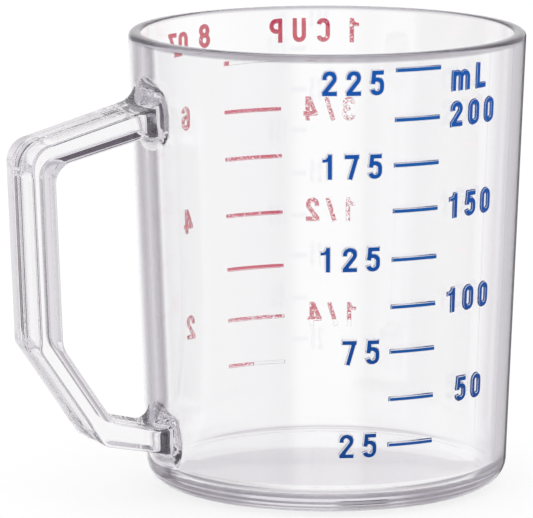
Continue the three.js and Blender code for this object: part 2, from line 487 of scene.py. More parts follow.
@dataclass
class CupShell:
    """The round cup: wall, floor, rounded foot and rounded rim, in millimetres."""

    wall: WallLine
    thickness: float = 2.2
    floor: float = 3.4
    foot_round: float = 4.3
    floor_fillet: float = 2.0
    rim_outer_round: float = 1.0
    rim_inner_round: float = 0.6
    sides: int = 192
    wall_rows: int = 28
    round_steps: int = 8
    merge_distance: float = 1e-4

    def inner_radius(self, height: float) -> float:
        """The inside's radius at a height."""
        return self.wall.radius(height) - self.thickness / math.cos(self.wall.draft)

    def profile(self) -> bmesh.types.BMesh:
        """Draws the half section from the underside's middle to the floor's middle, with rounded corners.

        Returns:
            The section's line.
        """
        top = self.wall.height
        corners = (
            ((self.wall.foot_radius, 0.0), self.foot_round, 1.0),
            ((self.wall.rim_radius, top), self.rim_outer_round, -1.0),
            ((self.inner_radius(top), top), self.rim_inner_round, 1.0),
            ((self.inner_radius(self.floor), self.floor), self.floor_fillet, 1.0),
        )
        bm = bmesh.new()
        start = bm.verts.new((0.0, 0.0, 0.0))
        turns = [bm.verts.new((radius, 0.0, height)) for (radius, height), _, _ in corners]
        finish = bm.verts.new((0.0, 0.0, self.floor))
        line = [start, *turns, finish]
        for pair in zip(line, line[1:]):
            bm.edges.new(pair)
        for (radius, height), size, side in corners:
            vert = min(bm.verts, key=lambda v: (v.co - Vector((radius, 0.0, height))).length)
            half_turn = (math.pi / 2 + side * self.wall.draft) / 2
            bmesh.ops.bevel(
                bm, geom=[vert], offset=size / math.tan(half_turn), offset_type="OFFSET", affect="VERTICES",
                segments=self.round_steps, profile=0.5, material=-1, clamp_overlap=False,
            )
        walls = sorted(bm.edges, key=lambda e: e.calc_length())[-2:]
        bmesh.ops.subdivide_edges(bm, edges=walls, cuts=self.wall_rows)
        return bm

    def build(self) -> bmesh.types.BMesh:
        """Spins the half section into the cup.

        Returns:
            The cup's mesh.
        """
        bm = self.profile()
        bmesh.ops.spin(
            bm, geom=bm.verts[:] + bm.edges[:], cent=(0, 0, 0), axis=(0, 0, 1), dvec=(0, 0, 0),
            angle=2 * math.pi, steps=self.sides, use_merge=True, use_duplicate=False,
        )
        bmesh.ops.remove_doubles(bm, verts=bm.verts, dist=self.merge_distance)
        bmesh.ops.recalc_face_normals(bm, faces=bm.faces)
        return bm


@dataclass
class StrapHandle:
    """The strap handle with its two flared roots, in millimetres. A pair is for the outer and inner faces."""

    wall: WallLine
    grip_reach: float = 24.0
    grip_thickness: float = 4.4
    width: float = 12.6
    edge_round: float = 0.6
    inner_sink: float = 0.6
    upper_root: Pair = (69.3, 64.5)
    elbow: Pair = (62.8, 59.8)
    knee: Pair = (28.0, 28.5)
    heel_reach: Pair = (12.8, 10.8)
    heel: Pair = (10.5, 14.65)
    lower_root: Pair = (7.9, 12.0)
    elbow_rounds: Pair = (4.2, 3.6)
    knee_rounds: Pair = (2.5, 5.0)
    heel_rounds: Pair = (2.6, 1.0)
    root_reach: float = 2.6
    flare_height: float = 5.2
    flare_side: float = 2.4
    bite: float = 0.05
    sunk: float = 0.6
    bend_steps: int = 10
    flare_steps: int = 12
    edge_steps: int = 5
    across_steps: int = 12
    side_steps: int = 5

    def face(self, reach: float, height: float) -> Vector:
        """A point at a distance from the wall, as distance from the axis and height."""
        return Vector((self.wall.radius(height) + reach, height))

    def root_end(self, heights: Pair) -> float:
        """Distance from the axis to the place where a root becomes the strap."""
        return self.wall.radius(sum(heights) / 2) + self.root_reach

    @staticmethod
    def on_line(start: Vector, end: Vector, distance: float) -> Vector:
        """The point of a line at a distance from the axis."""
        return Vector((distance, start.y + (end.y - start.y) * (distance - start.x) / (end.x - start.x)))

    def rounded(self, before: Vector, corner: Vector, after: Vector, size: float) -> list[Vector]:
        """Rounds a corner.

        Args:
            before: The point before the corner.
            corner: The corner.
            after: The point after it.
            size: The arc's radius.

        Returns:
            Points on the arc.
        """
        back = (before - corner).normalized()
        on = (after - corner).normalized()
        half = back.angle(on) / 2
        centre = corner + (back + on).normalized() * (size / math.sin(half))
        spoke = corner + back * (size / math.tan(half)) - centre
        turn = (math.pi - 2 * half) * (-1 if back.x * on.y - back.y * on.x > 0 else 1)
        shares = [i / self.bend_steps for i in range(self.bend_steps + 1)]
        return [centre + Matrix.Rotation(turn * share, 2) @ spoke for share in shares]

    def stations(self) -> list[tuple[Vector, Vector]]:
        """Follows the strap's outer and inner faces from the upper root's end to the lower root's end.

        Returns:
            Pairs of points, one on each face.
        """
        grip = (self.grip_reach, self.grip_reach - self.grip_thickness)
        corners = (
            (grip, self.elbow, self.elbow_rounds),
            (grip, self.knee, self.knee_rounds),
            (self.heel_reach, self.heel, self.heel_rounds),
        )
        faces = []
        for side in range(2):
            line = [self.face(0.0, self.upper_root[side])]
            line += [self.face(reaches[side], heights[side]) for reaches, heights, _ in corners]
            line.append(self.face(0.0, self.lower_root[side]))
            points = [self.on_line(line[0], line[1], self.root_end(self.upper_root))]
            for i, (_, _, rounds) in enumerate(corners):
                points += self.rounded(*line[i:i + 3], rounds[side])
            points.append(self.on_line(line[-2], line[-1], self.root_end(self.lower_root)))
            faces.append(points)
        return list(zip(*faces))

    def section(self, half: float) -> list[Vector]:
        """Goes round the strap's section.

        Args:
            half: Half of the strap's thickness.

        Returns:
            The section's points, as distance across and distance out from the middle.
        """
        across = self.width / 2 - self.edge_round
        out = half - self.edge_round
        corners = [Vector((side * across, lift * out)) for side, lift in ((1, 1), (-1, 1), (-1, -1), (1, -1))]
        points = []
        for quarter, (corner, ahead) in enumerate(zip(corners, corners[1:] + corners[:1])):
            for step in range(self.edge_steps + 1):
                angle = math.pi / 2 * (quarter + step / self.edge_steps)
                points.append(corner + self.edge_round * Vector((math.cos(angle), math.sin(angle))))
            start = points[-1]
            target = ahead + (start - corner)
            steps = self.side_steps if quarter % 2 else self.across_steps
            points += [start.lerp(target, i / steps) for i in range(1, steps)]
        for point in points:
            share = 1 - (point.x / across) ** 2
            if share > 0 and point.y <= 0:
                point.y += share * self.inner_sink
        return points

    def strap_ring(self, outer: Vector, inner: Vector) -> list[Vector]:
        """Sets the section in its place between two points.

        Args:
            outer: The point on the outer face.
            inner: The point on the inner face.

        Returns:
            The ring's points.
        """
        middle = (outer + inner) / 2
        lift = (outer - inner).normalized()
        ring = []
        for point in self.section((outer - inner).length / 2):
            place = middle + lift * point.y
            ring.append(Vector((-place.x, point.x, place.y)))
        return ring

    def root_rings(self, heights: Pair, end: tuple[Vector, Vector]) -> list[list[Vector]]:
        """Flares a root.

        Args:
            heights: Heights of the strap's outer and inner faces on the wall.
            end: The strap's outer and inner points at the root's end.

        Returns:
            The root's rings, from inside the wall out to the strap.
        """
        sign = 1 if heights[0] > heights[1] else -1
        foot_middle = sum(heights) / 2
        foot_half = abs(heights[0] - heights[1]) / 2
        middle = (end[0].y + end[1].y) / 2
        half = (end[0] - end[1]).length / 2
        across = self.width / 2
        rings = []
        for step in range(self.flare_steps, 0, -1):
            turn = math.pi / 2 * step / self.flare_steps
            along, flare = math.sin(turn), 1 - math.cos(turn)
            ring = []
            for point in self.section(half):
                angle = math.atan2(point.y / half, point.x / across)
                oval = Vector((
                    (across + self.flare_side) * math.cos(angle),
                    (foot_half + self.flare_height) * math.sin(angle),
                ))
                radius = self.wall.radius(foot_middle + sign * oval.y)
                wall = math.sqrt(radius ** 2 - oval.x ** 2) - self.bite
                place = point.lerp(oval, flare)
                distance = end[0].x + (wall - end[0].x) * along
                height = middle + (foot_middle - middle) * along + sign * place.y
                ring.append(Vector((-distance, place.x, height)))
            rings.append(ring)
        sunk_ring = [place + Vector((self.sunk, 0.0, 0.0)) for place in rings[0]]
        return [sunk_ring, *rings]

    def build(self) -> bmesh.types.BMesh:
        """Lofts the handle from inside the wall at the upper root to inside the wall at the lower root.

        Returns:
            The handle's mesh.
        """
        stations = self.stations()
        rings = self.root_rings(self.upper_root, stations[0])
        rings += [self.strap_ring(*pair) for pair in stations]
        rings += reversed(self.root_rings(self.lower_root, stations[-1]))
        bm = bmesh.new()
        ring = [bm.verts.new(place) for place in rings[0]]
        edges = [bm.edges.new(ends) for ends in zip(ring, ring[1:] + ring[:1])]
        bmesh.ops.contextual_create(bm, geom=edges)
        for places in rings[1:]:
            made = bmesh.ops.extrude_edge_only(bm, edges=edges)["geom"]
            fresh = {g for g in made if isinstance(g, bmesh.types.BMVert)}
            edges = [g for g in made if isinstance(g, bmesh.types.BMEdge) and set(g.verts) <= fresh]
            ring = [next(e.other_vert(v) for e in v.link_edges if e.other_vert(v) in fresh) for v in ring]
            for vert, place in zip(ring, places):
                vert.co = place
        bmesh.ops.contextual_create(bm, geom=edges)
        bmesh.ops.recalc_face_normals(bm, faces=bm.faces)
        return bm


@dataclass
class ClearMoulding:
    """The cup and its handle as one clear moulding."""

    shell: CupShell
    handle: StrapHandle
    finish: ClearPlastic
    name: str = "clear_moulding"
    merge_distance: float = 0.002
    crease: float = math.radians(24)

    def build(self) -> bpy.types.Object:
        """Joins the handle to the cup.

        Returns:
            The moulding, without a finish.
        """
        cup = finished(self.name + "_cup", self.shell.build(), [])
        strap = finished(self.name + "_strap", self.handle.build(), [])
        join = cup.modifiers.new("join", "BOOLEAN")
        join.operation = "UNION"
        join.solver = "EXACT"
        join.object = strap
        joined = bpy.data.meshes.new_from_object(cup.evaluated_get(bpy.context.evaluated_depsgraph_get()))
        for part in (cup, strap):
            bpy.data.objects.remove(part)
        bm = bmesh.new()
        bm.from_mesh(joined)
        bmesh.ops.scale(bm, vec=(1 / MM,) * 3, verts=bm.verts)
        bmesh.ops.remove_doubles(bm, verts=bm.verts, dist=self.merge_distance)
        bmesh.ops.dissolve_degenerate(bm, edges=bm.edges, dist=self.merge_distance)
        bmesh.ops.recalc_face_normals(bm, faces=bm.faces)
        for edge in bm.edges:
            edge.smooth = edge.calc_face_angle(0.0) < self.crease
        for face in bm.faces:
            face.smooth = True
        return finished(self.name, bm, [])

    def dress(self, piece: bpy.types.Object) -> None:
        """Gives the moulding its finish and lets its flat faces stay flat.

        Args:
            piece: The moulding.
        """
        piece.data.materials.append(self.finish.material())
        flat = piece.modifiers.new("flat_faces", "WEIGHTED_NORMAL")
        flat.keep_sharp = True
        seat(piece, Slot.CLEAR, "cup_body", "handle")


@dataclass(frozen=True)
class Run:
    """A straight run of the nib."""

    length: float


@dataclass(frozen=True)
class Turn:
    """An arc of the nib, anticlockwise where its degrees are positive."""

    radius: float
    degrees: float


@dataclass(frozen=True)
class Stroke:
    """One stroke of a character: its start, its heading in degrees, its moves and its share of the nib."""

    x: float
    y: float
    heading: float
    moves: tuple[Run | Turn, ...]
    share: float = 1.0


@dataclass(frozen=True)
class Glyph:
    """A character as strokes on its own cell, in millimetres."""

    width: float
    strokes: tuple[Stroke, ...]


FIGURE_HEIGHT = 4.3
EDGE = 0.4
TOP_BAR = FIGURE_HEIGHT - EDGE
BOWL = 0.85


def stem(x: float) -> Stroke:
    """An upright stroke of full height."""
    return Stroke(x, 0.0, 90, (Run(FIGURE_HEIGHT),))


def crossbar(y: float, width: float, x: float = 0.0) -> Stroke:
    """A level stroke."""
    return Stroke(x, y, 0, (Run(width),))


LOOP = Stroke(EDGE, 1.25, 90, (Run(1.8), Turn(BOWL, -180)) * 2)
GLYPHS: dict[str, Glyph] = {
    "0": Glyph(2.5, (LOOP,)),
    "1": Glyph(2.33, (stem(1.45), Stroke(0.18, 3.22, 0, (Run(0.32), Turn(0.8, 60), Run(0.5)), 0.75))),
    "2": Glyph(2.5, (
        Stroke(EDGE, 2.75, 90, (Run(0.3), Turn(BOWL, -180), Turn(0.9, -38), Run(2.66))),
        crossbar(EDGE, 2.5),
    )),
    "3": Glyph(2.45, (
        Stroke(0.45, 3.1, 90, (Turn(0.8, -270), Run(0.3))),
        Stroke(0.95, 2.3, 0, (Run(0.3), Turn(0.95, -250))),
    )),
    "4": Glyph(2.6, (stem(1.85), Stroke(1.62, 4.15, -113.6, (Run(3.05),)), crossbar(1.25, 2.6))),
    "5": Glyph(2.4, (
        crossbar(TOP_BAR, 2.05, 0.25),
        Stroke(0.63, 4.25, -95, (Run(2.3),)),
        Stroke(0.35, 2.19, 70, (Turn(BOWL, -160), Run(0.65), Turn(BOWL, -165))),
    )),
    "6": Glyph(2.5, (
        Stroke(2.087, 3.2, 100, (
            Turn(BOWL, 170), Run(1.8), Turn(BOWL, 180), Run(0.25), Turn(BOWL, 180),
        )),
    )),
    "7": Glyph(2.5, (crossbar(TOP_BAR, 2.5), Stroke(2.05, TOP_BAR, -105.7, (Run(4.05),)))),
    "8": Glyph(2.6, (
        Stroke(0.48, 3.08, 90, (Turn(0.82, -180),) * 2),
        Stroke(0.38, 1.32, 90, (Turn(0.92, -180),) * 2),
    )),
    "m": Glyph(4.0, (
        Stroke(EDGE, 0.0, 90, (Run(3.4),)),
        *(Stroke(x, 2.2, 90, (Turn(0.8, -180), Run(2.2))) for x in (EDGE, 2.0)),
    )),
    "L": Glyph(2.4, (stem(EDGE), crossbar(EDGE, 2.4))),
    "C": Glyph(2.5, (Stroke(2.07, 3.27, 105, (Turn(BOWL, 165), Run(1.8), Turn(BOWL, 165))),)),
    "U": Glyph(2.5, (Stroke(EDGE, FIGURE_HEIGHT, -90, (Run(3.05), Turn(BOWL, 180), Run(3.05))),)),
    "P": Glyph(2.5, (stem(EDGE), Stroke(EDGE, TOP_BAR, 0, (Run(0.75), Turn(0.95, -180), Run(0.75))))),
    "O": Glyph(2.5, (LOOP,)),
    "Z": Glyph(2.4, (
        crossbar(TOP_BAR, 2.4),
        Stroke(1.95, TOP_BAR, -113.2, (Run(3.81),)),
        crossbar(EDGE, 2.4),
    )),
    "/": Glyph(1.75, (Stroke(0.25, 0.0, 72, (Run(4.4),)),)),
}


@dataclass(frozen=True)
class Pen:
    """Draws strokes as strips of faces, by moving a straight nib over a plane."""

    nib: float
    run_step: float = 0.8
    turn_step: float = 15.0

    def draw(self, bm: bmesh.types.BMesh, stroke: Stroke, origin: Vector) -> None:
        """Draws one stroke.

        Args:
            bm: The mesh that takes the strip.
            stroke: The stroke.
            origin: Where the stroke's cell starts.
        """
        heading = math.radians(stroke.heading)
        place = origin + Vector((stroke.x, stroke.y))
        half_nib = Vector((-math.sin(heading), math.cos(heading))) * stroke.share * self.nib / 2
        ends = [bm.verts.new((*(place + side * half_nib), 0.0)) for side in (1, -1)]
        edge = bm.edges.new(ends)
        for move in stroke.moves:
            if isinstance(move, Run):
                steps = math.ceil(move.length / self.run_step)
                ahead = Vector((math.cos(heading), math.sin(heading))) * move.length
                edge = self.sweep(bm, edge, steps, dvec=(*(ahead / steps), 0.0))
                place = place + ahead
            else:
                turn = math.radians(move.degrees)
                left = Vector((-math.sin(heading), math.cos(heading)))
                centre = place + left * math.copysign(move.radius, turn)
                steps = math.ceil(abs(move.degrees) / self.turn_step)
                edge = self.sweep(bm, edge, steps, cent=(*centre, 0.0), angle=turn)
                place = centre + Matrix.Rotation(turn, 2) @ (place - centre)
                heading += turn

    @staticmethod
    def sweep(
        bm: bmesh.types.BMesh, edge: bmesh.types.BMEdge, steps: int, cent: tuple[float, ...] = (0, 0, 0),
        angle: float = 0.0, dvec: tuple[float, ...] = (0, 0, 0),
    ) -> bmesh.types.BMEdge:
        """Sweeps the nib.

        Args:
            bm: The mesh that takes the strip.
            edge: The nib.
            steps: The number of steps.
            cent: The middle of a turn.
            angle: The angle of a turn.
            dvec: The way of one step.

        Returns:
            The nib where it stops.
        """
        swept = bmesh.ops.spin(
            bm, geom=[*edge.verts, edge], cent=cent, axis=(0, 0, 1), dvec=dvec, angle=angle, steps=steps,
            use_duplicate=False,
        )
        return next(g for g in swept["geom_last"] if isinstance(g, bmesh.types.BMEdge))


@dataclass(frozen=True)
class Relief:
    """How far marks stand out, and where their colour lies, in millimetres."""

    height: float = 0.24
    gap: float = 0.05
    ink_margin: float = 0.02
    side_draft: float = 0.16
    side_slope: float = 0.5
    join_distance: float = 1e-4


@dataclass(frozen=True)
class Mark:
    """One raised mark as strokes on the unrolled wall, from a start angle and a base height."""

    name: str
    strokes: tuple[tuple[Stroke, float], ...]
    angle: float
    base: float
    nib: float
    wear: tuple[Pair, ...] = ((0.0, 0.0),)
    ink_shift: Pair = (0.0, 0.0)
    bare_below: float = 0.0

    def wear_at(self, place: float) -> float:
        """Says how far the colour is worn.

        Args:
            place: The place along the mark.

        Returns:
            The wear, from 0 to 1.
        """
        before = [stop for stop in self.wear if stop[0] <= place] or [self.wear[0]]
        after = [stop for stop in self.wear if stop[0] > place] or [self.wear[-1]]
        (x0, low), (x1, high) = before[-1], after[0]
        share = (place - x0) / (x1 - x0) if x1 > x0 else 0.0
        return low + (high - low) * min(max(share, 0.0), 1.0)


@dataclass
class MarkMaker:
    """Builds raised marks on the wall."""

    wall: WallLine
    relief: Relief = field(default_factory=Relief)

    @staticmethod
    def strips(
        strokes: tuple[tuple[Stroke, float], ...], nib: float, shift: Vector,
    ) -> tuple[list[Vector], list[list[int]]]:
        """Draws strokes as flat faces.

        Args:
            strokes: The strokes, each with the place of its cell.
            nib: The width of the strokes.
            shift: How far the strokes are moved.

        Returns:
            The faces' points, and the faces as indices.
        """
        flat = bmesh.new()
        pen = Pen(nib)
        for stroke, offset in strokes:
            pen.draw(flat, stroke, Vector((offset, 0.0)) + shift)
        flat.verts.index_update()
        points = [v.co.xy for v in flat.verts]
        faces = [[v.index for v in f.verts] for f in flat.faces]
        flat.free()
        return points, faces

    def crest(self, mark: Mark) -> bmesh.types.BMesh:
        """Joins a mark's strokes into its flat crest.

        Args:
            mark: The mark.

        Returns:
            The crest, with its coloured faces in the second material slot.
        """
        points, faces = self.strips(mark.strokes, mark.nib, Vector((0.0, 0.0)))
        plain = len(faces)
        ink_nib = mark.nib - self.relief.ink_margin
        ink_points, ink_faces = self.strips(mark.strokes, ink_nib, Vector(mark.ink_shift))
        faces += [[i + len(points) for i in face] for face in ink_faces]
        points += ink_points
        places, _, cells, *_ = delaunay_2d_cdt(points, [], faces, 0, self.relief.join_distance)
        quads = [[points[i] for i in face] for face in faces]
        bm = bmesh.new()
        wear = bm.verts.layers.float.new(WEAR)
        verts = [bm.verts.new((*place, 0.0)) for place in places]
        for vert in verts:
            vert[wear] = mark.wear_at(vert.co.x)
        for cell in cells:
            middle = sum((places[i] for i in cell), Vector((0.0, 0.0))) / len(cell)
            if any(intersect_point_quad_2d(middle, *quad) for quad in quads[:plain]):
                inked = any(intersect_point_quad_2d(middle, *quad) for quad in quads[plain:])
                face = bm.faces.new([verts[i] for i in cell])
                face.material_index = int(inked)
        bmesh.ops.delete(bm, geom=[v for v in bm.verts if not v.link_faces], context="VERTS")
        if mark.bare_below > 0.0:
            self.bare(bm, mark.bare_below)
        return bm

    @staticmethod
    def bare(bm: bmesh.types.BMesh, height: float) -> None:
        """Cuts a crest and leaves its lower part without colour.

        Args:
            bm: The crest.
            height: The height of the cut.
        """
        parts = bm.verts[:] + bm.edges[:] + bm.faces[:]
        bmesh.ops.bisect_plane(bm, geom=parts, plane_co=(0.0, height, 0.0), plane_no=(0.0, 1.0, 0.0))
        for face in bm.faces:
            if face.calc_center_median().y < height:
                face.material_index = 0

    def build(self, mark: Mark, materials: list[bpy.types.Material]) -> bpy.types.Object:
        """Raises a mark and wraps it round the wall.

        Args:
            mark: The mark.
            materials: The clear plastic and the ink.

        Returns:
            The mark's object.
        """
        bm = self.crest(mark)
        raised = bmesh.ops.extrude_face_region(bm, geom=bm.faces[:], use_keep_orig=True)["geom"]
        tops = [g for g in raised if isinstance(g, bmesh.types.BMVert)]
        bmesh.ops.translate(bm, vec=(0.0, 0.0, self.relief.height), verts=tops)
        bmesh.ops.recalc_face_normals(bm, faces=bm.faces)
        self.lean_sides(bm)
        for face in bm.faces:
            if face.normal.z < self.relief.side_slope:
                face.material_index = 0
        start = math.radians(mark.angle)
        reach = self.wall.radius(mark.base + FIGURE_HEIGHT / 2) + self.relief.height
        for vert in bm.verts:
            along, height, proud = vert.co
            vert.co = self.wall.on_wall(start + along / reach, mark.base + height, self.relief.gap + proud)
        return finished(mark.name, bm, materials)

    def lean_sides(self, bm: bmesh.types.BMesh) -> None:
        """Widens the foot of a raised mark, so that its sides lean.

        Args:
            bm: The mark, still flat.
        """
        moves = {}
        for vert in bm.verts:
            sides = [f.normal for f in vert.link_faces if abs(f.normal.z) < self.relief.side_slope]
            if sides and vert.co.z < self.relief.height / 2:
                moves[vert] = sum(sides, Vector()).normalized() * self.relief.side_draft
        for vert, move in moves.items():
            vert.co += move


@dataclass
class PartingLine:
    """The hairline that the mould leaves down the wall, opposite the handle."""

    maker: MarkMaker
    finish: ClearPlastic
    name: str = "parting_line"
    angle: float = 0.0
    foot: float = 5.0
    top: float = 75.0
    width: float = 0.18

    def build(self) -> None:
        """Builds, dresses and seats the line."""
        stroke = Stroke(0.0, 0.0, 90, (Run(self.top - self.foot),))
        mark = Mark(self.name, ((stroke, 0.0),), self.angle, self.foot, self.width)
        seat(self.maker.build(mark, [self.finish.material()] * 2), Slot.CLEAR)


@dataclass(frozen=True)
class Figure:
    """A number or unit beside a scale: its place on the wall and how its colour lies."""

    text: str
    angle: float
    middle: float
    align: Align = Align.LEFT
    gap: float = 1.6
    wear: tuple[float, ...] = ()
    bare_below: float = 0.0

    @property
    def cells(self) -> list[tuple[float, Glyph]]:
        """The figure's characters, each with the place of its cell."""
        glyphs = [GLYPHS[character] for character in self.text]
        return [(sum(g.width + self.gap for g in glyphs[:i]), glyph) for i, glyph in enumerate(glyphs)]

    @property
    def width(self) -> float:
        """The figure's width in millimetres."""
        place, glyph = self.cells[-1]
        return place + glyph.width

    def strokes(self) -> tuple[tuple[Stroke, float], ...]:
        """The figure's strokes, each with the place of its cell."""
        return tuple((stroke, place) for place, glyph in self.cells for stroke in glyph.strokes)

    def worn(self) -> tuple[Pair, ...]:
        """Says how far each character's colour is worn.

        Returns:
            The ends of each character's cell, with its wear.
        """
        stops = []
        for (place, glyph), wear in zip(self.cells, self.wear or (0.0,) * len(self.text)):
            stops += [(place, wear), (place + glyph.width, wear)]
        return tuple(stops)


@dataclass
class GraduatedScale:
    """One of the cup's two scales: its bars, which stand for the solids of the lines, and its figures."""

    name: str
    figures: tuple[Figure, ...]
    line_ink: Ink
    figure_ink: Ink
    slot: Slot
    maker: MarkMaker
    shift_low: Pair
    shift_high: Pair
    line_wear: dict[str, tuple[Pair, ...]] = field(default_factory=dict)
    bar_nib: float = 0.62
    bar_margins: Pair = (0.42, 0.10)
    figure_nib: float = 0.76

    def shift(self, height: float) -> Pair:
        """How far the colour is off the crest at a height."""
        share = height / self.maker.wall.height
        return tuple(Vector(self.shift_low).lerp(Vector(self.shift_high), share))

    def bar(self, node: str) -> Mark:
        """Plans the bar for a line, from the box of the line's solid.

        Args:
            node: The solid's name.

        Returns:
            The bar.
        """
        low, high = (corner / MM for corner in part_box(node))
        middle = (low + high) / 2
        radius = self.maker.wall.radius(middle.z)
        side = math.copysign(1.0, middle.y)
        ends = sorted(side * math.acos(x / radius) for x in (low.x, high.x))
        length = (ends[1] - ends[0]) * radius
        stroke = crossbar(FIGURE_HEIGHT / 2, length - sum(self.bar_margins), self.bar_margins[0])
        wear = tuple((share * length, worn) for share, worn in self.line_wear.get(node, ((0.0, 0.0),)))
        return Mark(
            node.replace("line", "bar"), ((stroke, 0.0),), math.degrees(ends[0]),
            middle.z - FIGURE_HEIGHT / 2, self.bar_nib, wear, self.shift(middle.z),
        )

    def figure(self, figure: Figure) -> Mark:
        """Plans the mark for a figure.

        Args:
            figure: The figure.

        Returns:
            The mark.
        """
        angle = figure.angle
        if figure.align is Align.RIGHT:
            angle -= math.degrees(figure.width / self.maker.wall.radius(figure.middle))
        label = figure.text.replace("/", "_over_")
        return Mark(
            f"{self.name}_figure_{label}", figure.strokes(), angle, figure.middle - FIGURE_HEIGHT / 2,
            self.figure_nib, figure.worn(), self.shift(figure.middle), figure.bare_below,
        )

    def build(self, clear: ClearPlastic) -> None:
        """Builds, dresses and seats every bar and figure.

        Args:
            clear: The plastic under the ink.
        """
        plastic = clear.material()
        line_finish = [plastic, self.line_ink.material(clear)]
        figure_finish = [plastic, self.figure_ink.material(clear)]
        for node in sorted(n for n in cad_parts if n.startswith(f"{self.name}_line")):
            seat(self.maker.build(self.bar(node), line_finish), self.slot, node)
        for figure in self.figures:
            seat(self.maker.build(self.figure(figure), figure_finish), self.slot)


@dataclass(frozen=True)
class Lamp:
    """A soft square lamp, in metres and watts."""

    name: str
    place: tuple[float, float, float]
    size: float
    power: float


@dataclass(frozen=True)
class Card:
    """A grey card that shows in the clear plastic, by direction: to the camera's right, up, and away."""

    reach: Pair
    rise: Pair
    colour: Colour
    sight: Sight
    away: Pair = (0.0, 1.0)
    soft: float = 0.04


